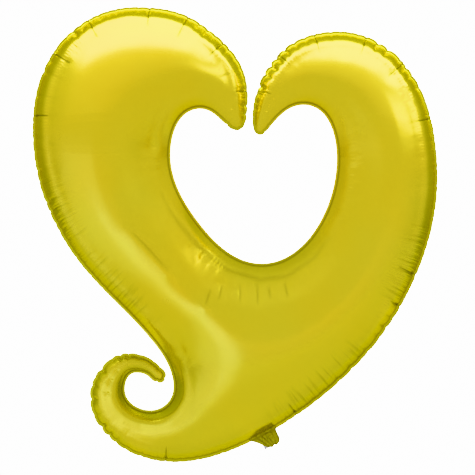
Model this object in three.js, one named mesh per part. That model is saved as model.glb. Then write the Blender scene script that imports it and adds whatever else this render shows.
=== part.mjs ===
// An inflated foil balloon in the shape of an open heart: two plump horns that nearly meet at the top, and a curled
// tail at the lower left that lets one balloon hook into the next. It is two metallised films welded face to face
// around one outline, with a self-closing valve of two clear films in the filling tail at the bottom edge.
// Millimetres, +Z up, front towards -Y. The origin is the neck, where the filling tail leaves the rim.
import * as THREE from 'three';

// ---- Driving dimensions ----
const FLANGE_WIDTH = 7; // welded border outside the weld line
const FULLNESS = 0.72; // thickness of an inflated limb over its width
const FOIL = 1; // thickness of one foil ply
const VALVE_PLY = 0.5; // thickness of one valve ply
const PLY_GAP = 0.3; // gap between two plies that lie face to face
const RIM_STEP = 19; // longest step between points of the rim
const RIM_TURN = 15; // largest turn, in degrees, between points of the rim
const FIRST_RING = 9; // distance from the weld line to the first row of points inside it
const GRID_STEP = 27; // spacing of the points further inside
const NECK_LIFT = 1.2; // how far each panel stands off the valve at the neck
const NECK_REACH = 34; // radius over which the lift fades away
const TAIL_START = 2.65; // distance from the rim, where the tail folds, to the tail's own film
const TAIL_LENGTH = 30; // distance from the rim to the mouth of the tail
const TAIL_ROOT = 23; // half width of the tail where it leaves the rim
const TAIL_END = 15; // half width of the tail near its mouth
const TAIL_LEAN = 5; // sideways shift of the mouth
const VALVE_WIDTH = 30;
const VALVE_DEPTH = 75; // how far the valve reaches into the balloon
const VALVE_RECESS = 6; // distance from the mouth of the tail back to the end of the valve

const FOIL_INNER = PLY_GAP / 2 + NECK_LIFT; // half distance between the two tail plies
const VALVE_INNER = PLY_GAP / 2; // half distance between the two valve plies

// ---- Outline ----
// Points of the rim, clockwise from the top of the left lobe: x and z from the middle of the heart, and the
// direction of travel there in degrees, where 0 is +X and 90 is +Z. Round stretches run between them.
const OUTLINE = [
  { at: 'left lobe crown', x: -178, z: 409, heading: 0 },
  { at: 'left lobe shoulder', x: -64, z: 381, heading: -34 },
  { at: 'left horn back', x: 9, z: 308, heading: -62 },
  { at: 'left horn cheek', x: 23, z: 228, heading: -95 },
  { at: 'left horn tip', x: 3, z: 186, heading: 180 },
  { at: 'left horn throat', x: -19, z: 199, heading: 136 },
  { at: 'left hole crest', x: -62, z: 225, heading: 180 },
  { at: 'hole west', x: -116, z: 140, heading: -89 },
  { at: 'hole lower left', x: -56, z: 9, heading: -51 },
  { at: 'hole bottom', x: 48, z: -53, heading: 0 },
  { at: 'hole lower right', x: 151, z: 18, heading: 60 },
  { at: 'hole east', x: 183, z: 137, heading: 90 },
  { at: 'right hole crest', x: 123, z: 232, heading: 180 },
  { at: 'right horn throat', x: 61, z: 190, heading: -128 },
  { at: 'right horn tip', x: 45, z: 178, heading: 180 },
  { at: 'right horn cheek', x: 31, z: 206, heading: 91 },
  { at: 'right horn back', x: 74, z: 321, heading: 48 },
  { at: 'right lobe crown', x: 185, z: 365, heading: 0 },
  { at: 'right lobe shoulder', x: 318, z: 291, heading: -57 },
  { at: 'right lobe east', x: 365, z: 100, heading: -90 },
  { at: 'right flank', x: 304, z: -121, heading: -118 },
  { at: 'keel right', x: 148, z: -300, heading: -142 },
  { at: 'neck', x: 56, z: -360, heading: -152 },
  { at: 'keel', x: -108, z: -411, heading: 180 },
  { at: 'curl lower left', x: -234, z: -360, heading: 133 },
  { at: 'curl west', x: -262, z: -292, heading: 90 },
  { at: 'curl temple', x: -238, z: -236, heading: 45 },
  { at: 'curl crown', x: -195, z: -213, heading: 0 },
  { at: 'curl tip shoulder', x: -140, z: -233, heading: -42 },
  { at: 'curl tip', x: -123, z: -257, heading: -92 },
  { at: 'curl tip underside', x: -138, z: -269, heading: 180 },
  { at: 'eye throat', x: -158, z: -255, heading: 144 },
  { at: 'eye crest', x: -178, z: -250, heading: 180 },
  { at: 'eye west', x: -198, z: -279, heading: -90 },
  { at: 'eye bottom', x: -152, z: -317, heading: 0 },
  { at: 'eye east', x: -111, z: -276, heading: 90 },
  { at: 'left flank low', x: -162, z: -177, heading: 131 },
  { at: 'left flank high', x: -265, z: -70, heading: 131 },
  { at: 'left flank top', x: -331, z: 32, heading: 115 },
  { at: 'left lobe west', x: -365, z: 190, heading: 90 },
  { at: 'left lobe temple', x: -318, z: 341, heading: 52 },
];
const NECK = OUTLINE.find((anchor) => anchor.at === 'neck');
const HALF_TURN = 180;

const radians = THREE.MathUtils.degToRad;

// The curve from one outline point to the next, which is an arc of a circle where the two headings allow one.
function rimSegment(from, to) {
  const start = new THREE.Vector2(from.x, from.z);
  const end = new THREE.Vector2(to.x, to.z);
  const turn = Math.abs(THREE.MathUtils.euclideanModulo(to.heading - from.heading + HALF_TURN, 360) - HALF_TURN);
  const reach = start.distanceTo(end) / (3 * Math.cos(radians(turn) / 4) ** 2);
  const leave = new THREE.Vector2(reach, 0).rotateAround(new THREE.Vector2(), radians(from.heading));
  const arrive = new THREE.Vector2(reach, 0).rotateAround(new THREE.Vector2(), radians(to.heading));
  const curve = new THREE.CubicBezierCurve(start, start.clone().add(leave), end.clone().sub(arrive), end);
  return { curve, turn };
}

// Points of the rim, with the outward direction at each.
function rimPoints() {
  const rim = [];
  OUTLINE.forEach((anchor, i) => {
    const { curve, turn } = rimSegment(anchor, OUTLINE[(i + 1) % OUTLINE.length]);
    const steps = Math.max(2, Math.ceil(curve.getLength() / RIM_STEP), Math.ceil(turn / RIM_TURN));
    for (let k = 0; k < steps; k++) {
      const tangent = curve.getTangentAt(k / steps);
      rim.push({ point: curve.getPointAt(k / steps), outward: new THREE.Vector2(-tangent.y, tangent.x) });
    }
  });
  return rim;
}

// ---- Flat layout of a panel ----
function isInside(polygon, point) {
  let inside = false;
  polygon.forEach((a, i) => {
    const b = polygon[(i + 1) % polygon.length];
    const crosses = a.y > point.y !== b.y > point.y;
    if (crosses && point.x < ((b.x - a.x) * (point.y - a.y)) / (b.y - a.y) + a.x) inside = !inside;
  });
  return inside;
}

function distanceToPolygon(polygon, point) {
  const nearest = new THREE.Vector3();
  const from = new THREE.Vector3(point.x, point.y, 0);
  return polygon.reduce((least, a, i) => {
    const b = polygon[(i + 1) % polygon.length];
    const edge = new THREE.Line3(new THREE.Vector3(a.x, a.y, 0), new THREE.Vector3(b.x, b.y, 0));
    return Math.min(least, edge.closestPointToPoint(from, true, nearest).distanceTo(from));
  }, Infinity);
}

// A row of points just inside the weld line, then a triangular grid over the rest of the panel.
function innerPoints(weld) {
  const found = [];
  const clearOf = (point, list, distance) => list.every((other) => other.distanceTo(point) > distance);
  weld.forEach((a, i) => {
    const b = weld[(i + 1) % weld.length];
    const along = b.clone().sub(a).normalize();
    const inward = new THREE.Vector2(along.y, -along.x);
    const point = a.clone().add(b).multiplyScalar(0.5).addScaledVector(inward, FIRST_RING);
    const free = distanceToPolygon(weld, point) > 0.8 * FIRST_RING && clearOf(point, found, 0.6 * FIRST_RING);
    if (isInside(weld, point) && free) found.push(point);
  });
  const box = new THREE.Box2().setFromPoints(weld);
  const rowHeight = (GRID_STEP * Math.sqrt(3)) / 2;
  let shift = 0;
  for (let y = box.min.y; y < box.max.y; y += rowHeight) {
    for (let x = box.min.x + shift; x < box.max.x; x += GRID_STEP) {
      const point = new THREE.Vector2(x, y);
      const deep = distanceToPolygon(weld, point) > FIRST_RING + GRID_STEP / 3;
      if (isInside(weld, point) && deep && clearOf(point, found, GRID_STEP / 2)) found.push(point);
    }
    shift = GRID_STEP / 2 - shift;
  }
  return found;
}

// Delaunay triangulation, adding one point at a time. Returns triples of indices, counterclockwise in the plane.
function triangulate(points) {
  const far = 1e5;
  const all = [...points, new THREE.Vector2(-far, -far), new THREE.Vector2(far, -far), new THREE.Vector2(0, far)];
  const circled = (corners) => {
    const [a, b, c] = corners.map((k) => all[k]);
    const twiceArea = 2 * ((b.x - a.x) * (c.y - a.y) - (b.y - a.y) * (c.x - a.x));
    const ab = b.lengthSq() - a.lengthSq();
    const ac = c.lengthSq() - a.lengthSq();
    const centre = new THREE.Vector2(
      (ab * (c.y - a.y) - ac * (b.y - a.y)) / twiceArea,
      (ac * (b.x - a.x) - ab * (c.x - a.x)) / twiceArea,
    );
    return { corners, centre, radiusSq: centre.distanceToSquared(a) };
  };
  const count = points.length;
  let triangles = [circled([count, count + 1, count + 2])];
  points.forEach((point, index) => {
    const hit = triangles.filter((t) => t.centre.distanceToSquared(point) < t.radiusSq * (1 - 1e-12));
    const edges = new Map();
    hit.forEach(({ corners: [a, b, c] }) => {
      [[a, b], [b, c], [c, a]].forEach(([from, to]) => {
        if (!edges.delete(`${to},${from}`)) edges.set(`${from},${to}`, [from, to]);
      });
    });
    triangles = triangles.filter((t) => !hit.includes(t));
    edges.forEach(([from, to]) => triangles.push(circled([from, to, index])));
  });
  return triangles.map((t) => t.corners).filter((corners) => corners.every((k) => k < count));
}

// The flat sheet: the rim, the weld line just inside it, and the points further in, with their triangles.
function layOutSheet() {
  const rim = rimPoints();
  const count = rim.length;
  const weld = rim.map(({ point, outward }) => point.clone().addScaledVector(outward, -FLANGE_WIDTH));
  const inflated = [...weld, ...innerPoints(weld)];
  const centroid = (corners) =>
    corners.reduce((sum, k) => sum.addScaledVector(inflated[k], 1 / 3), new THREE.Vector2());
  const triangles = triangulate(inflated)
    .filter((corners) => isInside(weld, centroid(corners)))
    .map((corners) => corners.map((k) => k + count));
  rim.forEach((_, i) => {
    const next = (i + 1) % count;
    triangles.push([i, count + i, next], [next, count + i, count + next]);
  });
  return { points: [...rim.map(({ point }) => point), ...inflated], triangles, rimCount: count };
}

// ---- Inflated height ----
// A film under pressure, held at the weld line: solves laplacian(u) = -1 over the sheet. The square root of u turns
// the cross-section of a straight limb into an ellipse, with the given fullness.
function inflate({ points, triangles, rimCount }) {
  const held = 2 * rimCount;
  const links = points.map(() => new Map());
  const load = points.map(() => 0);
  triangles.forEach((corners) => {
    corners.forEach((i, k) => {
      const j = corners[(k + 1) % 3];
      const a = points[i].clone().sub(points[corners[(k + 2) % 3]]);
      const b = points[j].clone().sub(points[corners[(k + 2) % 3]]);
      const twiceArea = Math.abs(a.cross(b));
      const stiffness = a.dot(b) / twiceArea / 2;
      links[i].set(j, (links[i].get(j) ?? 0) + stiffness);
      links[j].set(i, (links[j].get(i) ?? 0) + stiffness);
      load[i] += twiceArea / 6;
    });
  });
  const u = points.map(() => 0);
  const overRelaxation = 1.8;
  for (let sweep = 0; sweep < 400; sweep++) {
    for (let i = held; i < points.length; i++) {
      let pull = load[i];
      let total = 0;
      links[i].forEach((stiffness, j) => {
        pull += stiffness * u[j];
        total += stiffness;
      });
      u[i] += overRelaxation * (pull / total - u[i]);
    }
  }
  return u.map((value) => FULLNESS * Math.sqrt(2 * Math.max(value, 0)));
}

// ---- Panels ----
// Half distance between the two panels where they lie face to face: wider at the neck, where the valve passes.
function seamInner(point) {
  const fromNeck = Math.hypot(point.x - NECK.x, point.y - NECK.z);
  return PLY_GAP / 2 + NECK_LIFT * Math.exp(-((fromNeck / NECK_REACH) ** 2));
}

// One foil ply as a closed shell: the outer face, the inner face one ply thickness behind it, and the cut edge.
// side is -1 for the front panel and 1 for the back panel.
function panelGeometry({ points, triangles, rimCount }, heights, side) {
  const facing = (corners) => (side < 0 ? corners : [...corners].reverse());
  const outer = points.map((p, i) => new THREE.Vector3(p.x, side * (seamInner(p) + FOIL + heights[i]), p.y));
  const normals = outer.map(() => new THREE.Vector3());
  triangles.map(facing).forEach((corners) => {
    const [a, b, c] = corners.map((k) => outer[k]);
    const weighted = b.clone().sub(a).cross(c.clone().sub(a));
    corners.forEach((k) => normals[k].add(weighted));
  });
  const inner = outer.map((p, i) => p.clone().addScaledVector(normals[i].normalize(), -FOIL));
  const count = points.length;
  const faces = triangles.map(facing).flatMap((corners) => [corners, [...corners].reverse().map((k) => k + count)]);
  for (let i = 0; i < rimCount; i++) {
    const next = (i + 1) % rimCount;
    faces.push(facing([i, next, count + next]), facing([i, count + next, count + i]));
  }
  const geometry = new THREE.BufferGeometry().setFromPoints([...outer, ...inner]);
  geometry.setIndex(faces.flat());
  geometry.computeVertexNormals();
  return geometry;
}

// ---- Neck: the valve and the filling tail, in a frame with +X along the rim, +Z into the balloon ----
// A flat ply of the given outline, whose inner face stands off the middle plane.
function plyGeometry(shape, innerFace, thickness, side) {
  const geometry = new THREE.ExtrudeGeometry(shape, { depth: thickness, bevelEnabled: false, curveSegments: 6 });
  geometry.rotateX(Math.PI / 2);
  geometry.translate(0, side < 0 ? -innerFace : innerFace + thickness, 0);
  return geometry;
}

function tailShape() {
  const shape = new THREE.Shape();
  const mouth = -TAIL_LENGTH;
  const corner = TAIL_END / 2;
  shape.moveTo(-TAIL_ROOT, -TAIL_START);
  shape.quadraticCurveTo(TAIL_LEAN - TAIL_END - 2, mouth / 2, TAIL_LEAN - TAIL_END, mouth + corner);
  shape.quadraticCurveTo(TAIL_LEAN - TAIL_END, mouth, TAIL_LEAN - TAIL_END + corner, mouth);
  shape.lineTo(TAIL_LEAN + TAIL_END - corner, mouth);
  shape.quadraticCurveTo(TAIL_LEAN + TAIL_END, mouth, TAIL_LEAN + TAIL_END, mouth + corner);
  shape.quadraticCurveTo(TAIL_LEAN + TAIL_END + 2, mouth / 2, TAIL_ROOT, -TAIL_START);
  return shape;
}

function stripShape(lowZ, highZ) {
  const half = VALVE_WIDTH / 2;
  const corners = [[-half, lowZ], [half, lowZ], [half, highZ], [-half, highZ]];
  return new THREE.Shape(corners.map(([x, z]) => new THREE.Vector2(x, z)));
}

// ---- Materials ----
const lemonGoldFoil = new THREE.MeshStandardMaterial({ color: 0xc9b71e, roughness: 0.25, metalness: 1 });
const clearFilm = new THREE.MeshStandardMaterial({ color: 0xe6e8e4, roughness: 0.35, metalness: 0 });

function named(name, geometry, material) {
  const mesh = new THREE.Mesh(geometry, material);
  mesh.name = name;
  return mesh;
}

// ---- Assembly ----
const sheet = layOutSheet();
const heights = inflate(sheet);

const heart = new THREE.Group();
heart.add(named('front_panel', panelGeometry(sheet, heights, -1), lemonGoldFoil));
heart.add(named('back_panel', panelGeometry(sheet, heights, 1), lemonGoldFoil));
heart.position.set(-NECK.x, 0, -NECK.z);

const neck = new THREE.Group();
const tailStrip = stripShape(-TAIL_LENGTH + VALVE_RECESS, -TAIL_START);
[['front', -1], ['back', 1]].forEach(([face, side]) => {
  const ply = (shape, innerFace, thickness) => plyGeometry(shape, innerFace, thickness, side);
  neck.add(named(`tail_${face}_ply`, ply(tailShape(), FOIL_INNER, FOIL), lemonGoldFoil));
  neck.add(named(`tail_valve_${face}_ply`, ply(tailStrip, VALVE_INNER, VALVE_PLY), clearFilm));
  neck.add(named(`valve_${face}_ply`, ply(stripShape(0, VALVE_DEPTH), VALVE_INNER, VALVE_PLY), clearFilm));
});
neck.rotation.y = -radians(NECK.heading + HALF_TURN);

const balloon = new THREE.Group();
balloon.add(heart, neck);

export default balloon;
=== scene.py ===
import math

import bpy
import numpy as np
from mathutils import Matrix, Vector
from mathutils.geometry import delaunay_2d_cdt


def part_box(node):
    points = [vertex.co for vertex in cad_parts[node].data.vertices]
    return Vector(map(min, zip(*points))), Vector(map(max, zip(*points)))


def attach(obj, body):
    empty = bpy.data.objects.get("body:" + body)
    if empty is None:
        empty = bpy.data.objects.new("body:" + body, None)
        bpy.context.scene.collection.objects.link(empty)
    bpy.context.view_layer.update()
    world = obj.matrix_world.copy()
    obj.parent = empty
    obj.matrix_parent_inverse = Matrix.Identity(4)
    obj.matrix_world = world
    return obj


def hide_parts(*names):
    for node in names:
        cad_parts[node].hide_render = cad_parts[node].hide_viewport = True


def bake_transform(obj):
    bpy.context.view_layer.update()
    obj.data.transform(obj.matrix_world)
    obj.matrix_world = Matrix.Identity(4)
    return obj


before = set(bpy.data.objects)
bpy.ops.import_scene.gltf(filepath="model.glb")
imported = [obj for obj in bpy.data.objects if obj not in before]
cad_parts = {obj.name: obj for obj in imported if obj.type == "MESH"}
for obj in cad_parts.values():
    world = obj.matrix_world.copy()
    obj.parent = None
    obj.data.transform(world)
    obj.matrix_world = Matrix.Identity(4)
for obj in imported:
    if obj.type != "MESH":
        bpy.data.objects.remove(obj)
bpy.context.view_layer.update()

# ---- Mesh of a panel ----
FLANGE = 0.0046  # welded border outside the weld line
RIM_STEP = 0.002  # spacing of points along the rim
FLANGE_ROWS = (0.0, 0.0015, 0.0031)  # rows of points across the border, from the rim inwards
FILM_ROWS = (  # fine rows inside the weld line
    0.001, 0.0028, 0.005, 0.0075, 0.0105, 0.0138, 0.0173, 0.021, 0.0248,
)
FILM_ROWS_WIDE = (0.0295, 0.035)  # rows with half as many points
ROW_SHARE, ROW_SLACK = 0.86, 0.0002  # a row's point is kept where it lies this far from the whole rim
ROW_TO_GRID = 0.6  # gap between the last row and the grid, as a share of the grid's spacing
GRID_STEP = 0.0075  # spacing of points further inside
FOLD_STEP = 0.0025  # spacing of points beside a fold
FOLD_REACH = 0.014  # how far from a fold the close spacing goes

# ---- Height of the film ----
MEMBRANE_ERROR, MEMBRANE_ROUNDS = 1e-12, 2000  # when the solver stops
PLY_HALF_GAP = 0.00025  # each ply's distance from the middle plane on the border
CAD_CLEARANCE = 0.0012  # how far the fullest part stays inside the CAD panel's box
NECK_LIFT = 0.0009  # extra room between the plies at the neck, where the valve passes
NECK_REACH = 0.028
BAND_REACH = 0.024  # how far in from a rim that bends outwards the film forms a steep even band
BAND_SHARE = 0.65  # and no further than this share of the limb's half width
BAND_STRENGTH = 0.97  # how fully the band follows an even slope
TAUT_RISE = 1.4  # slope of the taut film beside a rim that bends inwards, as a share of height by half width
TAUT_SHARE = 0.85  # share of the half width over which the taut film rises
TAUT_POWER = 3.5  # the power that rounds it off over the middle of the limb
TAUT_RADIUS = 0.22  # a rim that bends inwards with this radius or less is fully taut
TAUT_SMOOTHING = 24  # rim samples over which that fades along the rim
EYE_BEND = 12.0  # a rim that bends inwards more sharply, as in the curl's eye, isn't taut
PROFILE_FROM = 0.014  # the slopes of the two sides are blended from here inwards
PROFILE_ROUNDS = 90  # rounds of averaging in that blend
WIDTH_SMOOTHING = 8  # rim samples over which the half width is averaged

# ---- Painted shade beside the rim ----
BULGE_RADIUS = 0.25  # a rim that bends outwards with twice this radius or less has a fully darkened border, painted shade for its dark reflection
BORDER_SHADE_REACH = 0.0012  # how far inside the weld the border's painted shade fades out
CREVICE_SHADE = 0.95  # strength of the painted shade line where taut film meets the border
CREVICE_SHADE_WIDTH = 0.0015
FINE_FROM, FINE_TO = 0.006, 0.05  # fine wrinkles fade in up to the first distance and are gone at the second
PAINTED_SHADES = [  # stretches where shade is painted darker into the film, for its dark reflections: (x, z) of the middle, half length, reach inwards, strength
    ((-0.350, 0.300), 0.200, 0.034, 0.75),
    ((0.110, 0.085), 0.180, 0.036, 0.95),
    ((-0.110, -0.040), 0.130, 0.030, 0.80),
    ((0.280, 0.320), 0.120, 0.034, 0.60),
    ((0.000, 0.308), 0.130, 0.036, 0.80),
    ((-0.209, 0.034), 0.160, 0.024, 0.95),
    ((-0.345, 0.020), 0.140, 0.014, 0.85),
    ((-0.230, 0.160), 0.060, 0.016, 0.85),
]
FINE_WRINKLES = [  # stretches with fine parallel wrinkles, bumped and with their shade painted as darker strokes: (x, z) of the middle, half length
    ((-0.350, 0.300), 0.190),
    ((0.110, 0.085), 0.130),
    ((0.275, 0.300), 0.100),
]

# ---- Puckers along the weld ----
RIPPLE_PITCH = 0.015  # small ripples, wherever the rim bulges outwards
RIPPLE_NOTCH = 0.0011  # how far a full ripple draws the rim in
RIPPLE_RADIUS = 0.6  # a rim that bends outwards with this radius or less ripples fully
SCALLOP_BEND = -2  # a rim that bends inwards more than this has no scallops
CREASE_SIZE = (0.45, 1.25)  # range of a crease's size, as a share of its stretch's notch
CREASE_LENGTH = (0.45, 0.95)  # range of its length, as a share of the pitch
CREASE_SPACING = (0.7, 1.3)  # range of the distance to the next, as a share of the pitch
CREASE_DEPTH = 0.5  # depth of a crease, as a share of its notch
CREASE_WIDTH = 0.19  # width of a crease, as a share of the pitch
LEAST_NOTCH = 0.0003  # anything shallower is left out
ZONE_EDGE = 0.3  # a stretch's own pitch holds where its mask is above this
CREASE_CUT = 6  # a crease is cut off this many widths from its line
CREASE_FADE = 1.6  # the power with which it fades along its length
DRAWN_SHARE = 1.2  # what the rim's own movement reaches inwards, as a share of the crease's length
CREASE_ONSET = 0.002  # distance inside the weld over which a crease reaches its depth
SWAY_REACH = 0.006  # how far inside the weld the rim's sway out of the plane dies away
SMOOTH_FROM, SMOOTH_OVER = 0.006, 0.012  # puckers and painted shades are smoothed from here inwards
SMOOTH_ROUNDS = 12
MIDDLE_SHARE = 0.8  # puckers end at this share of a limb's half width
CALM_REACH = 0.03  # the rim is even this close to the neck
RANDOM_SEED = 5
SCALLOPS = [  # stronger scallops: (x, z) of the middle of a stretch, half length, pitch, notch
    ((0.020, 0.668), 0.095, 0.020, 0.0050),
    ((0.234, 0.677), 0.085, 0.024, 0.0036),
    ((-0.300, 0.060), 0.170, 0.023, 0.0040),
    ((-0.190, 0.100), 0.050, 0.019, 0.0036),
    ((-0.395, 0.450), 0.140, 0.019, 0.0022),
    ((-0.370, 0.690), 0.090, 0.022, 0.0026),
    ((-0.110, 0.715), 0.080, 0.021, 0.0026),
    ((-0.035, 0.590), 0.030, 0.013, 0.0022),
    ((-0.081, 0.571), 0.032, 0.012, 0.0024),
    ((0.190, 0.130), 0.140, 0.026, 0.0024),
]
TUCKS = [  # sharp tucks across the weld: (x, z) of the rim near it, length
    ((-0.418, 0.574), 0.030),
    ((-0.381, 0.684), 0.046),
    ((-0.319, 0.748), 0.044),
    ((-0.207, 0.765), 0.034),
    ((-0.142, 0.742), 0.042),
    ((-0.090, 0.689), 0.036),
    ((-0.033, 0.614), 0.018),
    ((-0.004, 0.616), 0.024),
    ((0.026, 0.678), 0.026),
    ((0.088, 0.713), 0.032),
    ((0.180, 0.709), 0.032),
    ((0.250, 0.666), 0.040),
    ((0.297, 0.568), 0.030),
    ((0.268, 0.286), 0.034),
    ((0.236, 0.232), 0.020),
    ((0.047, 0.045), 0.026),
    ((-0.182, -0.045), 0.026),
]
TUCK_NOTCH = 0.0012
TUCK_DEPTH = 0.0022
TUCK_WIDTH = 0.0014
TUCK_SHADE_HALF_WIDTH = 0.0011  # half width of the painted shade line along a tuck
FOLD_SHADE = 0.32  # how dark the painted shade along a fold is
BELOW_HOLE = (  # the fold that follows the lower edge of the heart-shaped hole
    (-0.196, 0.450), (-0.170, 0.397), (-0.121, 0.337), (-0.071, 0.297),
    (-0.011, 0.279), (0.037, 0.285), (0.085, 0.317), (0.115, 0.358),
)
FOLDS = [  # long soft folds in the front film: their points (x, z), depth, half width
    (((-0.240, 0.367), (-0.209, 0.335), (-0.173, 0.295)), 0.0012, 0.0035),
    (BELOW_HOLE, 0.0011, 0.0042),
    (((-0.047, 0.270), (-0.047, 0.239)), 0.0008, 0.0026),
    (((-0.016, 0.274), (-0.016, 0.234)), 0.0009, 0.0026),
    (((0.003, 0.272), (0.007, 0.245)), 0.0007, 0.0026),
    (((0.032, 0.275), (0.038, 0.247)), 0.0008, 0.0026),
    (((-0.099, 0.263), (-0.108, 0.234)), 0.0008, 0.0028),
    (((-0.079, 0.270), (-0.085, 0.243)), 0.0006, 0.0026),
]


# ---- Rim of the CAD panels ----
def rim_points(panel):
    """The corners of the panel's cut edge as (x, z), clockwise seen from the front."""
    least_height, most_height = 0.0005, 0.002
    starts, ends = [], []
    for polygon in panel.data.polygons:
        corners = [panel.data.vertices[k].co for k in polygon.vertices]
        heights = [c.y for c in corners]
        spread = max(heights) - min(heights)
        if abs(polygon.normal.y) > 0.2 or not least_height < spread < most_height:
            continue
        for k, a in enumerate(corners):
            b, lone = corners[(k + 1) % 3], corners[(k + 2) % 3]
            level = abs(a.y - b.y) < min(abs(a.y - lone.y), abs(b.y - lone.y))
            if level and a.y + b.y < 2 * lone.y:
                starts.append((a.x, a.z))
                ends.append((b.x, b.z))
    starts, ends = np.array(starts), np.array(ends)
    ring = [0]
    while len(ring) <= len(starts):
        following = int(np.linalg.norm(starts - ends[ring[-1]], axis=1).argmin())
        if following == 0:
            break
        ring.append(following)
    ring = starts[ring]
    x, z = ring.T
    area = np.sum(x * np.roll(z, -1) - z * np.roll(x, -1))
    return ring if area < 0 else ring[::-1]


def even_curve(points, step):
    """Evenly spaced points on the closed cubic spline through the given points."""
    count = len(points)
    onward = np.roll(points, -1, axis=0)
    chord = np.linalg.norm(onward - points, axis=1)
    before = np.roll(chord, 1)
    row = np.arange(count)
    system = np.diag(2 * (before + chord))
    system[row, row - 1] += before
    system[row, (row + 1) % count] += chord
    slope = (onward - points) / chord[:, None]
    bend = np.linalg.solve(system, 6 * (slope - np.roll(slope, 1, axis=0)))
    t = np.linspace(0, 1, 24, endpoint=False)[None, :, None]
    weight_a = (1 - t) ** 3 - (1 - t)
    weight_b = t**3 - t
    curve = (1 - t) * points[:, None] + t * onward[:, None]
    square = chord[:, None, None] ** 2 / 6
    curve = curve + square * (weight_a * bend[:, None] + weight_b * np.roll(bend, -1, axis=0)[:, None])
    dense = curve.reshape(-1, 2)
    closed = np.vstack([dense, dense[:1]])
    travel = np.concatenate([[0], np.cumsum(np.linalg.norm(np.diff(closed, axis=0), axis=1))])
    wanted = np.linspace(0, travel[-1], int(round(travel[-1] / step)), endpoint=False)
    return np.stack([np.interp(wanted, travel, closed[:, k]) for k in (0, 1)], axis=1), travel[-1]


def smoothed(values, reach):
    """A closed row of values, averaged over reach samples on each side."""
    kernel = np.hanning(2 * reach + 3)[1:-1]
    padded = np.concatenate([values[-reach:], values, values[:reach]])
    return np.convolve(padded, kernel / kernel.sum(), mode="valid")


class Rim:
    """The rim as evenly spaced points, with the outward direction and the bend at each."""

    def __init__(self, corners):
        self.points, self.length = even_curve(corners, RIM_STEP)
        self.count = len(self.points)
        self.travel = np.arange(self.count) * self.length / self.count
        ahead = np.roll(self.points, -1, axis=0) - np.roll(self.points, 1, axis=0)
        tangent = ahead / np.linalg.norm(ahead, axis=1)[:, None]
        self.outward = np.stack([-tangent[:, 1], tangent[:, 0]], axis=1)
        turned = np.roll(self.outward, -1, axis=0) - np.roll(self.outward, 1, axis=0)
        bend = np.sum(turned * tangent, axis=1) / (2 * self.length / self.count)
        self.bend = smoothed(bend, 6)

    def nearest(self, points):
        """For each point, the nearest rim sample and the distance to it."""
        found = np.empty(len(points), int)
        distance = np.empty(len(points))
        block = 2000
        for start in range(0, len(points), block):
            part = points[start : start + block]
            square = ((part[:, None] - self.points[None]) ** 2).sum(axis=2)
            found[start : start + block] = square.argmin(axis=1)
            distance[start : start + block] = np.sqrt(square.min(axis=1))
        return found, distance

    def near(self, place, half_length):
        """A soft mask along the rim, 1 at the place and 0 past half_length along the rim."""
        middle = self.travel[np.linalg.norm(self.points - np.array(place), axis=1).argmin()]
        away = self.apart(self.travel, middle)
        return np.clip(1.3 - 1.3 * (away / half_length) ** 2, 0, 1)

    def apart(self, a, b):
        away = np.abs(a - b) % self.length
        return np.minimum(away, self.length - away)


# ---- Flat sheet ----
def lay_out_sheet(rim):
    """Points (x, z) of a panel with its border, their triangles, and each point's rim sample and distance."""
    rows, places, depths = [], [], []
    every = np.arange(rim.count)

    def add_row(depth, samples):
        points = rim.points[samples] - rim.outward[samples] * depth
        kept = rim.nearest(points)[1] > ROW_SHARE * depth - ROW_SLACK
        rows.append(points[kept])
        places.append(samples[kept])
        depths.append(np.full(kept.sum(), depth))

    for depth in (*FLANGE_ROWS, FLANGE):
        add_row(depth, every)
    for depth in FILM_ROWS:
        add_row(FLANGE + depth, every)
    for depth in FILM_ROWS_WIDE:
        add_row(FLANGE + depth, every[::2])

    low, high = rim.points.min(axis=0), rim.points.max(axis=0)
    grid = []
    for step in (GRID_STEP, FOLD_STEP):
        even = []
        for k, z in enumerate(np.arange(low[1], high[1], step * math.sqrt(3) / 2)):
            xs = np.arange(low[0] + (k % 2) * step / 2, high[0], step)
            even.append(np.stack([xs, np.full(len(xs), z)], axis=1))
        even = np.vstack(even)
        away = np.min([along_fold(even, places)[0] for places, _, _ in FOLDS], axis=0)
        wanted = away < FOLD_REACH - step if step == FOLD_STEP else away > FOLD_REACH
        grid.append(even[wanted])
    grid = np.vstack(grid)
    sample, distance = rim.nearest(grid)
    inward = -np.sum((grid - rim.points[sample]) * rim.outward[sample], axis=1)
    deep = (inward > 0) & (distance > FLANGE + FILM_ROWS_WIDE[-1] + ROW_TO_GRID * GRID_STEP)
    rows.append(grid[deep])
    places.append(sample[deep])
    depths.append(distance[deep])

    points = np.vstack(rows)
    boundary = list(range(rim.count))
    made = delaunay_2d_cdt([Vector(p) for p in points], [], [boundary], 1, 1e-7, False)
    if len(made[0]) != len(points):
        raise RuntimeError("the sheet's points were merged or split")
    points = np.array([tuple(v) for v in made[0]])
    triangles = np.array(made[2])
    centres = points[triangles].mean(axis=1)
    sample = rim.nearest(centres)[0]
    within = np.sum((centres - rim.points[sample]) * rim.outward[sample], axis=1) < 0
    return points, triangles[within], np.concatenate(places), np.concatenate(depths)


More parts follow.
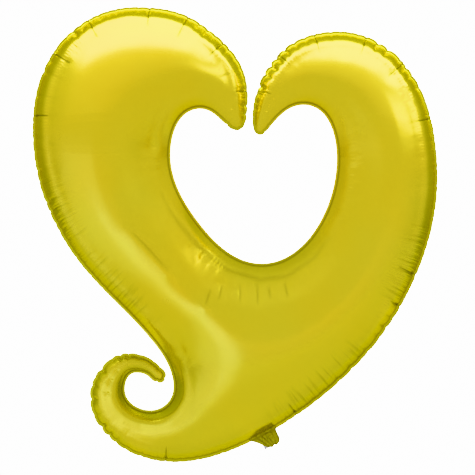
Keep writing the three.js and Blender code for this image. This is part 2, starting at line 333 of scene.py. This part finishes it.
def membrane_height(points, triangles, held):
    """The square root of u, where laplacian(u) = -1 and u = 0 where held: a limb's section is an ellipse."""
    count = len(points)
    ends, others, weights = [], [], []
    load = np.zeros(count)
    for k in range(3):
        i, j, opposite = triangles[:, k], triangles[:, (k + 1) % 3], triangles[:, (k + 2) % 3]
        a, b = points[i] - points[opposite], points[j] - points[opposite]
        twice_area = np.abs(a[:, 0] * b[:, 1] - a[:, 1] * b[:, 0])
        weight = np.sum(a * b, axis=1) / twice_area / 2
        ends += [i, j]
        others += [j, i]
        weights += [weight, weight]
        load += np.bincount(i, twice_area / 6, count)
    ends, others, weights = np.concatenate(ends), np.concatenate(others), np.concatenate(weights)
    total = np.bincount(ends, weights, count)
    free = ~held

    def applied(u):
        return np.where(free, total * u - np.bincount(ends, weights * u[others], count), 0)

    u = np.zeros(count)
    left = np.where(free, load, 0)
    scaled = left / total
    search = scaled.copy()
    size = left @ scaled
    target = MEMBRANE_ERROR * size
    for _ in range(MEMBRANE_ROUNDS):
        moved = applied(search)
        step = size / (search @ moved)
        u += step * search
        left -= step * moved
        scaled = left / total
        size_after = left @ scaled
        if size_after < target:
            break
        search = scaled + size_after / size * search
        size = size_after
    return np.sqrt(np.maximum(u, 0))


# ---- Puckers ----
class Pucker:
    """Creases across the weld: place along the rim, depth, width, length, and how far the rim is drawn in."""

    def __init__(self, rim, rng):
        self.rim = rim
        at, depth, width, length, notch = [], [], [], [], []
        bulging = np.clip(rim.bend * RIPPLE_RADIUS, 0, 1)
        pitch = np.full(rim.count, RIPPLE_PITCH)
        strength = RIPPLE_NOTCH * bulging
        for place, half_length, zone_pitch, zone_notch in SCALLOPS:
            mask = rim.near(place, half_length) * (rim.bend > SCALLOP_BEND)
            pitch = np.where(mask > ZONE_EDGE, zone_pitch, pitch)
            strength = np.maximum(strength, zone_notch * mask)
        position = 0.0
        while position < rim.length:
            k = int(position / rim.length * rim.count) % rim.count
            size = rng.uniform(*CREASE_SIZE)
            if strength[k] > LEAST_NOTCH:
                at.append(position)
                notch.append(strength[k] * size)
                depth.append(strength[k] * size * CREASE_DEPTH)
                width.append(pitch[k] * CREASE_WIDTH)
                length.append(pitch[k] * rng.uniform(*CREASE_LENGTH))
            position += pitch[k] * rng.uniform(*CREASE_SPACING)
        for place, tuck_length in TUCKS:
            middle = np.linalg.norm(rim.points - np.array(place), axis=1).argmin() // 2 * 2
            at.append(rim.travel[middle])
            notch.append(TUCK_NOTCH)
            depth.append(TUCK_DEPTH)
            width.append(TUCK_WIDTH)
            length.append(tuck_length)
        self.creases = np.array([at, depth, width, length, notch]).T
        self.lean = rng.uniform(-1, 1, len(at))

    def tuck_shade(self, travel, inside):
        """Painted shade along the tucks: 1 along the line of each tuck and 0 off it."""
        crease_shade = np.zeros(len(travel))
        for at, _, _, length, _ in self.creases[-len(TUCKS):]:
            away = self.rim.apart(travel, at)
            fade = np.clip(4 - 4 * inside / length, 0, 1)
            crease_shade = np.maximum(crease_shade, np.exp(-((away / TUCK_SHADE_HALF_WIDTH) ** 2)) * fade)
        return crease_shade

    def sums(self, travel, inside):
        """How far each point sinks into creases, how far the rim is drawn in, and how far it sways."""
        sunk = np.zeros(len(travel))
        drawn = np.zeros(len(travel))
        sway = np.zeros(len(travel))
        reach = np.maximum(inside, 0)
        for (at, depth, width, length, notch), lean in zip(self.creases, self.lean):
            away = self.rim.apart(travel, at)
            near = away < CREASE_CUT * width
            groove = np.exp(-away[near] / width)
            fade = np.exp(-((reach[near] / length) ** CREASE_FADE))
            onset = 1 - np.exp(-reach[near] / CREASE_ONSET)
            sunk[near] += depth * groove * fade * onset
            drawn[near] += notch * groove * np.exp(-reach[near] / (DRAWN_SHARE * length))
            sway[near] += lean * notch * groove * np.exp(-reach[near] / SWAY_REACH)
        return sunk, drawn, sway


def along_fold(flat, places):
    """Each point's distance from a fold's line, and how far along the line it is as a share."""
    places = np.array(places)
    lengths = np.linalg.norm(np.diff(places, axis=0), axis=1)
    before = np.concatenate([[0], np.cumsum(lengths)])
    nearest = np.full(len(flat), np.inf)
    progress = np.zeros(len(flat))
    for k, length in enumerate(lengths):
        a, b = places[k], places[k + 1]
        along = np.clip((flat - a) @ (b - a) / length**2, 0, 1)
        away = np.linalg.norm(flat - a - along[:, None] * (b - a), axis=1)
        closer = away < nearest
        nearest = np.where(closer, away, nearest)
        progress = np.where(closer, (before[k] + along * length) / before[-1], progress)
    return nearest, progress


def fold_depth(flat):
    """How far each point sinks into the long folds, and how dark the shade painted along their lines is
    there.
    """
    total, crease_shade = np.zeros(len(flat)), np.zeros(len(flat))
    for places, depth, half_width in FOLDS:
        away, progress = along_fold(flat, places)
        strength = np.sin(np.pi * np.clip(progress, 0, 1)) ** 0.6
        total += depth * np.exp(-((away / half_width) ** 2)) * strength
        crease_shade = np.maximum(crease_shade, FOLD_SHADE * np.exp(-((away / (0.8 * half_width)) ** 2)) * strength)
    return total, crease_shade


# ---- Panels ----
def averaged(values, triangles, rounds):
    """Values at the points, each averaged with its neighbours' a number of times."""
    ends = np.concatenate([triangles[:, k] for k in (0, 1, 2, 1, 2, 0)])
    others = np.concatenate([triangles[:, k] for k in (1, 2, 0, 0, 1, 2)])
    share = np.bincount(ends, minlength=len(values))
    for _ in range(rounds):
        values = 0.5 * values + 0.5 * np.bincount(ends, values[others], len(values)) / share
    return values


def vertex_normals(points, triangles):
    a, b, c = (points[triangles[:, k]] for k in range(3))
    face = np.cross(b - a, c - a)
    total = np.zeros_like(points)
    for k in range(3):
        for axis in range(3):
            total[:, axis] += np.bincount(triangles[:, k], face[:, axis], len(points))
    return total / np.maximum(np.linalg.norm(total, axis=1), 1e-12)[:, None]


def new_mesh(name, points, triangles):
    mesh = bpy.data.meshes.new(name)
    mesh.from_pydata([tuple(p) for p in points], [], [tuple(int(k) for k in t) for t in triangles])
    mesh.validate()
    mesh.update()
    mesh.polygons.foreach_set("use_smooth", np.ones(len(mesh.polygons), bool))
    obj = bpy.data.objects.new(name, mesh)
    bpy.context.scene.collection.objects.link(obj)
    return obj


def add_rim_map(obj, across, along, period):
    """UV map in metres: u along the rim and v inwards, with no jump inside a triangle."""
    mesh = obj.data
    corners = np.empty(len(mesh.loops), int)
    mesh.loops.foreach_get("vertex_index", corners)
    u = along[corners].reshape(-1, 3)
    u = np.where(u.max(axis=1, keepdims=True) - u > period / 2, u + period, u)
    uv = np.stack([u.ravel(), across[corners]], axis=1)
    layer = mesh.uv_layers.new(name="rim")
    layer.data.foreach_set("uv", uv.astype(np.float32).ravel())


def add_mask(obj, name, values):
    attribute = obj.data.attributes.new(name, "FLOAT", "POINT")
    attribute.data.foreach_set("value", np.asarray(values, np.float32))


def rim_mask(rim, stretches):
    """1 along the given stretches of the rim and 0 away from them."""
    mask = np.zeros(rim.count)
    for place, half_length in stretches:
        mask = np.maximum(mask, rim.near(place, half_length))
    return mask


def smoothed_inwards(values, inside, triangles):
    """Values averaged with their neighbours', except close to the weld."""
    deep = np.clip((inside - SMOOTH_FROM) / SMOOTH_OVER, 0, 1)
    return values + deep * (averaged(values, triangles, SMOOTH_ROUNDS) - values)


def limb_half_width(rim, height, inside, sample):
    """The half width of the limb at each rim sample, which the membrane's slope near the weld gives."""
    row = np.isclose(inside, FILM_ROWS[1])
    order = np.argsort(sample[row])
    found = (height[row] ** 2 / inside[row])[order]
    every = np.interp(np.arange(rim.count), sample[row][order], found)
    return smoothed(every, WIDTH_SMOOTHING)


def film_height(rim, flat, triangles, inside, sample):
    """Height of the film over the middle plane, and the limb's half width at each point."""
    height = membrane_height(flat, triangles, inside < 1e-6)
    half_width = limb_half_width(rim, height, inside, sample)[sample]
    inward_bend = np.clip(-rim.bend * TAUT_RADIUS, 0, 1) * (rim.bend > -EYE_BEND)
    taut = smoothed(inward_bend, TAUT_SMOOTHING)[sample]
    nearer = 1 - np.clip(inside / np.minimum(BAND_REACH, BAND_SHARE * half_width), 0, 1)
    band = np.sqrt(1 - BAND_STRENGTH * nearer**2)
    share = np.clip(inside / (TAUT_SHARE * half_width), 1e-6, 1)
    cushion = (TAUT_RISE * share - (TAUT_RISE - 1) * share**TAUT_POWER) / np.sqrt(1 - (1 - share) ** 2)
    lower = (1 - taut) * band + taut * cushion
    middle = np.clip((inside - PROFILE_FROM) / PROFILE_FROM, 0, 1)
    height *= lower + middle * (averaged(lower, triangles, PROFILE_ROUNDS) - lower)
    full = -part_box("front_panel")[0].y - CAD_CLEARANCE
    return height * (full / height.max()), half_width


def painted_rim_shade(rim, inside, sample, triangles):
    """Painted shade beside the rim: how dark the film's colour is painted there."""
    shade = np.zeros(len(inside))
    for place, half_length, reach, strength in PAINTED_SHADES:
        faded = np.clip(1 - inside / reach, 0, 1)
        shade = np.maximum(shade, strength * rim.near(place, half_length)[sample] * faded)
    return smoothed_inwards(shade, inside, triangles)


def build_panels():
    rim = Rim(rim_points(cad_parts["front_panel"]))
    flat, triangles, sample, depth = lay_out_sheet(rim)
    inside = depth - FLANGE
    travel = rim.travel[sample]
    height, half_width = film_height(rim, flat, triangles, inside, sample)
    shade = painted_rim_shade(rim, inside, sample, triangles)

    pucker = Pucker(rim, np.random.default_rng(RANDOM_SEED))
    sunk, drawn, sway = pucker.sums(travel, inside)
    off_middle = 1 - np.clip(inside / (MIDDLE_SHARE * half_width), 0, 1) ** 2
    sunk = smoothed_inwards(sunk, inside, triangles) * off_middle
    drawn = smoothed_inwards(drawn, inside, triangles) * off_middle
    from_neck = np.linalg.norm(flat, axis=1)
    calm = 1 - np.exp(-((from_neck / CALM_REACH) ** 2))
    gap = PLY_HALF_GAP + NECK_LIFT * np.exp(-((from_neck / NECK_REACH) ** 2))
    gap = np.where(depth < 1e-6, 0, gap)
    shifted = flat - rim.outward[sample] * (drawn * calm)[:, None]

    bulging = smoothed(np.clip(rim.bend * BULGE_RADIUS + 0.5, 0, 1), TAUT_SMOOTHING)[sample]
    # painted shade: the border of bulging rims and the listed stretches get the darker colour
    painted_shade = np.maximum(np.clip(1 - inside / BORDER_SHADE_REACH, 0, 1) * bulging * calm, shade)
    # painted shade: a dark line where taut film meets the border
    crevice_shade = CREVICE_SHADE * np.exp(-((inside / CREVICE_SHADE_WIDTH) ** 2)) * (1 - bulging)
    # painted shade: dark lines along the tucks and at the crevice
    crease_shade = np.maximum(pucker.tuck_shade(travel, inside), crevice_shade)
    fading = np.clip(inside / FINE_FROM, 0, 1) * np.clip(1 - inside / FINE_TO, 0, 1)
    fine = rim_mask(rim, FINE_WRINKLES)[sample] * fading
    made = []
    for name, side in (("front_foil", -1), ("back_foil", 1)):
        points = np.stack([shifted[:, 0], side * (gap + height), shifted[:, 1]], axis=1)
        facing = triangles if side < 0 else triangles[:, ::-1]
        # the folds also give the painted shade along their lines
        folded, fold_shade = fold_depth(flat) if side < 0 else (0, 0)
        points -= vertex_normals(points, facing) * (sunk * calm + folded)[:, None]
        points[:, 1] += sway * calm
        obj = new_mesh(name, points, facing)
        add_rim_map(obj, inside, travel, rim.length)
        add_mask(obj, "border", np.clip(1 - inside / 0.001, 0, 1))
        add_mask(obj, "painted_shade", painted_shade)
        add_mask(obj, "crease_shade", np.maximum(crease_shade, fold_shade))
        add_mask(obj, "fine", fine)
        made.append(obj)
    return made


# ---- Filler tail ----
TAIL_EDGES = [  # distance out from the rim, left edge, right edge, half thickness
    (-0.0052, -0.0325, 0.0235, 0.0017),
    (-0.0020, -0.0305, 0.0212, 0.0018),
    (0.0010, -0.0275, 0.0196, 0.0020),
    (0.0045, -0.0238, 0.0190, 0.0024),
    (0.0090, -0.0196, 0.0188, 0.0030),
    (0.0140, -0.0158, 0.0187, 0.0036),
    (0.0190, -0.0118, 0.0176, 0.0038),
    (0.0225, -0.0078, 0.0150, 0.0034),
    (0.0250, -0.0025, 0.0098, 0.0028),
]
TAIL_ALONG = (0.88295, 0.46947)  # (x, z) along the rim
TAIL_OUT = (0.46947, -0.88295)  # (x, z) away from the rim
TAIL_COLUMNS, TAIL_ROWS = 44, 40
TAIL_CRUMPLE = 0.0013  # depth of its waves
TAIL_LEAST = 0.0009  # least half thickness, where the valve passes
TAIL_LOOSE = (0.12, 0.3)  # the share of the rows from which the waves grow, and over which they do
TAIL_BOW = 0.0012  # how far the tail's rows bow out of line
TAIL_SWAY = 0.0014  # how far the whole tail waves out of the plane
TURN = 6.28  # a full turn of a wave, in radians
TAIL_SEED = 11


def tail_waves(rng):
    """Waves over the tail: how many across, how many along, where they start and how strong they are."""
    return [
        (rng.uniform(1.5, 5.5), rng.uniform(1.0, 4.0), rng.uniform(0, TURN), rng.uniform(0.5, 1))
        for _ in range(7)
    ]


def tail_crease_shade(waves, point_count):
    """Painted shade: how dark the gathers along the tail are, and the crease along its root."""
    rows, columns = np.divmod(np.arange(point_count) % (TAIL_ROWS * TAIL_COLUMNS), TAIL_COLUMNS)
    root_row, root_reach = 6, 3
    across, along = columns / TAIL_COLUMNS, rows / TAIL_ROWS
    gather = sum(a * np.sin(TURN * (p * 1.3 * across + q * 0.25 * along) + f) for p, q, f, a in waves)
    shade = np.clip(gather / 1.6, 0, 1) + np.exp(-(((rows - root_row) / root_reach) ** 2))
    return np.clip(0.5 + 0.5 * shade, 0, 1)


def build_tail():
    """The inflation tail: a flattened sleeve of both films, crumpled, open at its end."""
    waves = tail_waves(np.random.default_rng(TAIL_SEED))
    table = np.array(TAIL_EDGES)
    knots = np.linspace(0, 1, len(table))
    v = np.linspace(0, 1, TAIL_ROWS)
    out, left, right, thick = (np.interp(v, knots, table[:, k]) for k in range(4))
    for values in (left, right, thick):
        values[1:-1] = (values[:-2] + 2 * values[1:-1] + values[2:]) / 4
    u = np.linspace(0, 1, TAIL_COLUMNS)
    lens = np.sqrt(np.clip(1 - (2 * u - 1) ** 2, 0, 1)) ** 0.7
    points, triangles = [], []
    loose = np.clip((v - TAIL_LOOSE[0]) / TAIL_LOOSE[1], 0, 1)
    for side in (-1, 1):
        first = len(points)
        for i in range(TAIL_ROWS):
            for j in range(TAIL_COLUMNS):
                s = left[i] + (right[i] - left[i]) * u[j]
                o = out[i] + TAIL_BOW * loose[i] * math.sin(9 * u[j])
                waved = sum(a * math.sin(p * TURN * u[j] + q * TURN * v[i] + f) for p, q, f, a in waves) / 3
                half = TAIL_LEAST + (thick[i] - TAIL_LEAST) * lens[j]
                half += TAIL_CRUMPLE * waved * loose[i] * lens[j]
                sway = TAIL_SWAY * loose[i] * math.sin(5 * u[j] + 4 * v[i])
                y = side * max(half, TAIL_LEAST) + sway * lens[j] * (1 if side < 0 else 0.6)
                x, z = (TAIL_ALONG[k] * s + TAIL_OUT[k] * o for k in (0, 1))
                points.append((x, y, z))
        for i in range(TAIL_ROWS - 1):
            for j in range(TAIL_COLUMNS - 1):
                a, b = first + i * TAIL_COLUMNS + j, first + i * TAIL_COLUMNS + j + 1
                c, d = a + TAIL_COLUMNS, b + TAIL_COLUMNS
                faces = [(a, b, d), (a, d, c)]
                triangles += faces if side < 0 else [f[::-1] for f in faces]
    one_side = TAIL_ROWS * TAIL_COLUMNS
    for column in (0, TAIL_COLUMNS - 1):
        for i in range(TAIL_ROWS - 1):
            a = i * TAIL_COLUMNS + column
            b = a + TAIL_COLUMNS
            faces = [(a, b, one_side + b), (a, one_side + b, one_side + a)]
            triangles += faces if column else [f[::-1] for f in faces]
    tail = new_mesh("filler_tail", np.array(points), np.array(triangles))
    # painted shade: the whole tail gets the darker colour
    add_mask(tail, "painted_shade", np.ones(len(points)))
    # painted shade along the tail's gathers and root crease
    add_mask(tail, "crease_shade", tail_crease_shade(waves, len(points)))
    return tail


# ---- Materials ----
FOIL_COLOURS = [  # place in the drift, colour
    (0.32, (0.85, 0.775, 0.066)),
    (0.66, (0.89, 0.752, 0.054)),
]
FOIL_ROUGHNESS = (0.20, 0.30)
GLANCE_COLOUR = (0.80, 0.74, 0.25)  # tint of the foil where it is seen at a glancing angle
# colour of painted shade on the border, the darker stretches and the tail
PAINTED_SHADE_COLOUR = (0.60, 0.58, 0.030)
# colour of painted shade in tucks, folds, crevices and the tail's gathers
CREASE_SHADE_COLOUR = (0.30, 0.28, 0.012)
# colour of the painted shade of fine wrinkles
WRINKLE_SHADE_COLOUR = (0.45, 0.42, 0.015)
WRINKLE_SCALE = (200.0, 15.0, 1.0)  # fine wrinkles are close along the rim and long across it


def node_material(name):
    material = bpy.data.materials.new(name)
    material.use_nodes = True
    nodes = material.node_tree.nodes
    return material, nodes, material.node_tree.links, nodes["Principled BSDF"]


def add_noise(nodes, links, vector, scale, detail):
    noise = nodes.new("ShaderNodeTexNoise")
    noise.inputs["Scale"].default_value = scale
    noise.inputs["Detail"].default_value = detail
    links.new(vector, noise.inputs["Vector"])
    return noise.outputs["Fac"]


def add_range(nodes, links, value, start, end, low=0.0, high=1.0):
    """The value, taken from start..end to low..high."""
    changed = nodes.new("ShaderNodeMapRange")
    changed.inputs["From Min"].default_value = start
    changed.inputs["From Max"].default_value = end
    changed.inputs["To Min"].default_value = low
    changed.inputs["To Max"].default_value = high
    links.new(value, changed.inputs["Value"])
    return changed.outputs["Result"]


def add_masked(nodes, links, value, attribute):
    """The value times the mesh's attribute of that name."""
    mask = nodes.new("ShaderNodeAttribute")
    mask.attribute_name = attribute
    product = nodes.new("ShaderNodeMath")
    product.operation = "MULTIPLY"
    links.new(value, product.inputs[0])
    links.new(mask.outputs["Fac"], product.inputs[1])
    return product.outputs["Value"]


def add_tint(nodes, links, under, factor, colour):
    """The colour under, with another colour mixed over it by a factor."""
    mix = nodes.new("ShaderNodeMix")
    mix.data_type = "RGBA"
    links.new(factor, mix.inputs["Factor"])
    links.new(under, mix.inputs["A"])
    mix.inputs["B"].default_value = (*colour, 1)
    return mix.outputs["Result"]


def add_bump(nodes, links, height, strength, distance, under=None):
    bump = nodes.new("ShaderNodeBump")
    bump.inputs["Strength"].default_value = strength
    bump.inputs["Distance"].default_value = distance
    links.new(height, bump.inputs["Height"])
    if under:
        links.new(under, bump.inputs["Normal"])
    return bump.outputs["Normal"]


def foil_colour(nodes, links, place):
    """Lemon gold that drifts a little, with painted shade over it: the darker border and stretches, and dark
    lines in creases, folds and gathers.
    """
    tint = add_noise(nodes, links, place, 5.0, 2.5)
    colour = nodes.new("ShaderNodeValToRGB")
    for element, (position, shade) in zip(colour.color_ramp.elements, FOIL_COLOURS):
        element.position = position
        element.color = (*shade, 1)
    links.new(tint, colour.inputs["Fac"])
    total = colour.outputs["Color"]
    # painted shade mixed over the foil's colour
    for attribute, shade in (("painted_shade", PAINTED_SHADE_COLOUR), ("crease_shade", CREASE_SHADE_COLOUR)):
        where = nodes.new("ShaderNodeAttribute")
        where.attribute_name = attribute
        total = add_tint(nodes, links, total, where.outputs["Fac"], shade)
    return total


def foil_material(name, crumple=0.0):
    material, nodes, links, shader = node_material(name)
    shader.inputs["Metallic"].default_value = 1.0
    shader.inputs["Specular Tint"].default_value = (*GLANCE_COLOUR, 1)
    place = nodes.new("ShaderNodeTexCoord").outputs["Object"]
    rim_map = nodes.new("ShaderNodeUVMap")
    rim_map.uv_map = "rim"
    stretch = nodes.new("ShaderNodeMapping")
    stretch.inputs["Scale"].default_value = WRINKLE_SCALE
    links.new(rim_map.outputs["UV"], stretch.inputs["Vector"])

    wrinkles = add_noise(nodes, links, stretch.outputs["Vector"], 1.0, 1.5)
    # painted shade: the fine wrinkles darken the colour in strokes
    wrinkle_shade = add_masked(nodes, links, add_range(nodes, links, wrinkles, 0.52, 0.70), "fine")
    colour = add_tint(nodes, links, foil_colour(nodes, links, place), wrinkle_shade, WRINKLE_SHADE_COLOUR)
    links.new(colour, shader.inputs["Base Color"])

    haze = add_noise(nodes, links, place, 24.0, 4.0)
    links.new(add_range(nodes, links, haze, 0, 1, *FOIL_ROUGHNESS), shader.inputs["Roughness"])

    slack = add_noise(nodes, links, place, 9.0, 2.0)
    normal = add_bump(nodes, links, slack, 0.5, 0.004)
    wrinkled = add_masked(nodes, links, wrinkles, "fine")
    normal = add_bump(nodes, links, wrinkled, 0.8, 0.0020, normal)
    crimp = nodes.new("ShaderNodeTexWave")
    crimp.inputs["Scale"].default_value = 110.0
    crimp.inputs["Distortion"].default_value = 1.0
    links.new(rim_map.outputs["UV"], crimp.inputs["Vector"])
    pressed = add_masked(nodes, links, crimp.outputs["Fac"], "border")
    normal = add_bump(nodes, links, pressed, 0.5, 0.0003, normal)
    if crumple:
        creases = add_noise(nodes, links, place, 95.0, 3.0)
        normal = add_bump(nodes, links, creases, crumple, 0.004, normal)
    links.new(normal, shader.inputs["Normal"])
    return material


def clear_film_material():
    material, nodes, links, shader = node_material("clear_valve_film")
    shader.inputs["Base Color"].default_value = (0.86, 0.88, 0.86, 1)
    shader.inputs["Alpha"].default_value = 0.6
    place = nodes.new("ShaderNodeTexCoord").outputs["Object"]
    haze = add_noise(nodes, links, place, 60.0, 2.0)
    links.new(add_range(nodes, links, haze, 0, 1, 0.22, 0.42), shader.inputs["Roughness"])
    links.new(add_bump(nodes, links, haze, 0.4, 0.001), shader.inputs["Normal"])
    return material


# ---- Stage, light and camera ----
PHOTO_WIDTH = 0.855  # what the photograph's frame spans at the balloon's middle plane
VIEW_CENTRE = (-0.0515, 0.3537)  # (x, z) of the frame's centre
CAMERA_DISTANCE = 4.0
SENSOR = 36.0
FLOOR_RADIUS = 5.3
FLOOR_FADE = (0.45, 0.98)  # shares of the radius between which the floor fades into the background
FLOOR_COLOUR = (0.72, 0.72, 0.69)
FLOOR_GLOW = 0.18
FLOOR_HEIGHT = -0.7
BACKDROP = 6.0  # strength of the white that the camera sees around the balloon
TENT_TOP = 1.5  # how much brighter the tent is overhead
FLAG_HEIGHTS = (0.50, 0.515, 0.53, 0.545, 0.56, 0.575)  # thin cards, each letting some light through
FLAG_CLEAR = 0.55  # share of light through one card
FLAG_SPAN = (-2.6, -0.094, 3.0)  # front edge, rear edge, half width
FLAG_TONGUE = (-0.150, 0.105, 0.07)  # left edge, right edge, rear edge
FLAG_COLOUR = (0.70, 0.66, 0.68)
TENT = [  # colour of the tent from straight ahead of the balloon (0) to straight behind it (1)
    (0.0, (0.74, 0.675, 0.71)),
    (0.22, (0.70, 0.655, 0.67)),
    (0.42, (0.60, 0.585, 0.55)),
    (0.60, (0.47, 0.475, 0.38)),
    (0.80, (0.38, 0.39, 0.30)),
    (1.0, (0.40, 0.41, 0.34)),
]
LIGHTS = [  # name, place, what it faces, width, height, radiance, colour
    ("overhead_softbox", (0.1, -0.20, 1.05), (0.1, -0.20, 0), 1.7, 0.42, 4.2, (0.5, 0.51, 1.0)),
    ("side_softbox", (1.15, -0.85, 0.92), (-0.05, -0.05, 0.66), 0.8, 0.40, 2.2, (0.6, 0.61, 1.0)),
    ("curl_fill", (-0.42, -0.68, 0.09), (-0.27, -0.05, 0.04), 0.44, 0.34, 0.75, (0.13, 0.22, 1.0)),
    ("flank_fill", (-0.80, -0.62, 0.14), (-0.28, -0.08, 0.37), 1.10, 0.85, 0.50, (0.2, 0.26, 1.0)),
    ("rear_softbox", (0.0, 2.2, 1.9), (0, 0, 0.4), 2.4, 0.8, 1.6, (1, 1, 1)),
]


def add_camera():
    data = bpy.data.cameras.new("camera")
    data.sensor_width = SENSOR
    data.lens = SENSOR * CAMERA_DISTANCE / PHOTO_WIDTH
    data.clip_end = 100
    camera = bpy.data.objects.new("camera", data)
    camera.location = (VIEW_CENTRE[0], -CAMERA_DISTANCE, VIEW_CENTRE[1])
    camera.rotation_euler = (math.pi / 2, 0, 0)
    bpy.context.scene.collection.objects.link(camera)
    bpy.context.scene.camera = camera


def add_light(name, place, aim, width, height, radiance, colour):
    data = bpy.data.lights.new(name, "AREA")
    data.shape = "RECTANGLE"
    data.size = width
    data.size_y = height
    data.energy = radiance * math.pi * width * height
    data.color = colour
    light = bpy.data.objects.new(name, data)
    light.location = place
    light.visible_camera = False
    light.rotation_euler = (Vector(aim) - Vector(place)).to_track_quat("-Z", "Y").to_euler()
    bpy.context.scene.collection.objects.link(light)


def add_floor():
    middle = (0, 0, FLOOR_HEIGHT)
    bpy.ops.mesh.primitive_circle_add(vertices=96, radius=FLOOR_RADIUS, fill_type="NGON", location=middle)
    floor = bpy.context.object
    floor.name = "floor"
    material, nodes, links, shader = node_material("pale_floor")
    shader.inputs["Base Color"].default_value = (*FLOOR_COLOUR, 1)
    shader.inputs["Roughness"].default_value = 0.8
    shader.inputs["Emission Color"].default_value = (1, 1, 1, 1)
    shader.inputs["Emission Strength"].default_value = FLOOR_GLOW
    place = nodes.new("ShaderNodeTexCoord")
    away = nodes.new("ShaderNodeVectorMath")
    away.operation = "LENGTH"
    links.new(place.outputs["Object"], away.inputs[0])
    fade = nodes.new("ShaderNodeMapRange")
    fade.interpolation_type = "SMOOTHSTEP"
    fade.inputs["From Min"].default_value = FLOOR_FADE[0] * FLOOR_RADIUS
    fade.inputs["From Max"].default_value = FLOOR_FADE[1] * FLOOR_RADIUS
    fade.inputs["To Min"].default_value = 1.0
    fade.inputs["To Max"].default_value = 0.0
    links.new(away.outputs["Value"], fade.inputs["Value"])
    links.new(fade.outputs["Result"], shader.inputs["Alpha"])
    floor.data.materials.append(material)


def add_flag():
    """Glowing cards in front of the balloon at the height of the horns, which the camera doesn't see.

    They keep the overhead softbox off the lower part, as a studio flag does, and look like the tent.
    """
    front, rear, half_width = FLAG_SPAN
    left, right, back = FLAG_TONGUE
    outline = [(-half_width, front), (half_width, front), (half_width, rear), (right, rear), (right, back)]
    outline += [(left, back), (left, rear), (-half_width, rear)]
    material = bpy.data.materials.new("flag_glow")
    material.use_nodes = True
    nodes, links = material.node_tree.nodes, material.node_tree.links
    nodes.clear()
    glow = nodes.new("ShaderNodeEmission")
    glow.inputs["Color"].default_value = (*FLAG_COLOUR, 1)
    clear = nodes.new("ShaderNodeBsdfTransparent")
    blend = nodes.new("ShaderNodeMixShader")
    blend.inputs["Fac"].default_value = FLAG_CLEAR
    links.new(glow.outputs["Emission"], blend.inputs[1])
    links.new(clear.outputs["BSDF"], blend.inputs[2])
    output = nodes.new("ShaderNodeOutputMaterial")
    links.new(blend.outputs["Shader"], output.inputs["Surface"])
    for k, height in enumerate(FLAG_HEIGHTS):
        mesh = bpy.data.meshes.new(f"flag_{k}")
        mesh.from_pydata([(x, y, height) for x, y in outline], [], [tuple(range(len(outline)))])
        mesh.materials.append(material)
        flag = bpy.data.objects.new(f"flag_{k}", mesh)
        bpy.context.scene.collection.objects.link(flag)
        flag.visible_camera = False


def add_world():
    world = bpy.data.worlds.new("studio")
    bpy.context.scene.world = world
    world.use_nodes = True
    nodes, links = world.node_tree.nodes, world.node_tree.links
    surround = nodes["Background"]
    place = nodes.new("ShaderNodeTexCoord")
    split = nodes.new("ShaderNodeSeparateXYZ")
    links.new(place.outputs["Generated"], split.inputs["Vector"])
    depth = add_range(nodes, links, split.outputs["Y"], -1.0, 1.0)
    ramp = nodes.new("ShaderNodeValToRGB")
    elements = ramp.color_ramp.elements
    while len(elements) < len(TENT):
        elements.new(0.5)
    for element, (position, colour) in zip(elements, TENT):
        element.position = position
        element.color = (*colour, 1)
    links.new(depth, ramp.inputs["Fac"])
    links.new(ramp.outputs["Color"], surround.inputs["Color"])
    upward = add_range(nodes, links, split.outputs["Z"], -0.1, 1.0, 1.0, TENT_TOP)
    links.new(upward, surround.inputs["Strength"])
    seen = nodes.new("ShaderNodeBackground")
    seen.inputs["Color"].default_value = (1, 1, 1, 1)
    seen.inputs["Strength"].default_value = BACKDROP
    path = nodes.new("ShaderNodeLightPath")
    pick = nodes.new("ShaderNodeMixShader")
    links.new(path.outputs["Is Camera Ray"], pick.inputs["Fac"])
    links.new(surround.outputs["Background"], pick.inputs[1])
    links.new(seen.outputs["Background"], pick.inputs[2])
    links.new(pick.outputs["Shader"], nodes["World Output"].inputs["Surface"])


# ---- Making ----
front, back = build_panels()
tail = build_tail()
foil = foil_material("lemon_gold_foil")
crumpled = foil_material("lemon_gold_foil_crumpled", crumple=0.9)
film = clear_film_material()
for piece, node in ((front, "front_panel"), (back, "back_panel")):
    piece.data.materials.append(foil)
    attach(piece, "envelope")
    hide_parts(node)
tail.data.materials.append(crumpled)
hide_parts("tail_front_ply", "tail_back_ply")
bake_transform(tail)
for node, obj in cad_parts.items():
    if "valve" in node:
        obj.data.materials.clear()
        obj.data.materials.append(film)

add_floor()
add_camera()
add_world()
add_flag()
for light in LIGHTS:
    add_light(*light)
bpy.context.scene.view_settings.view_transform = "Khronos PBR Neutral"
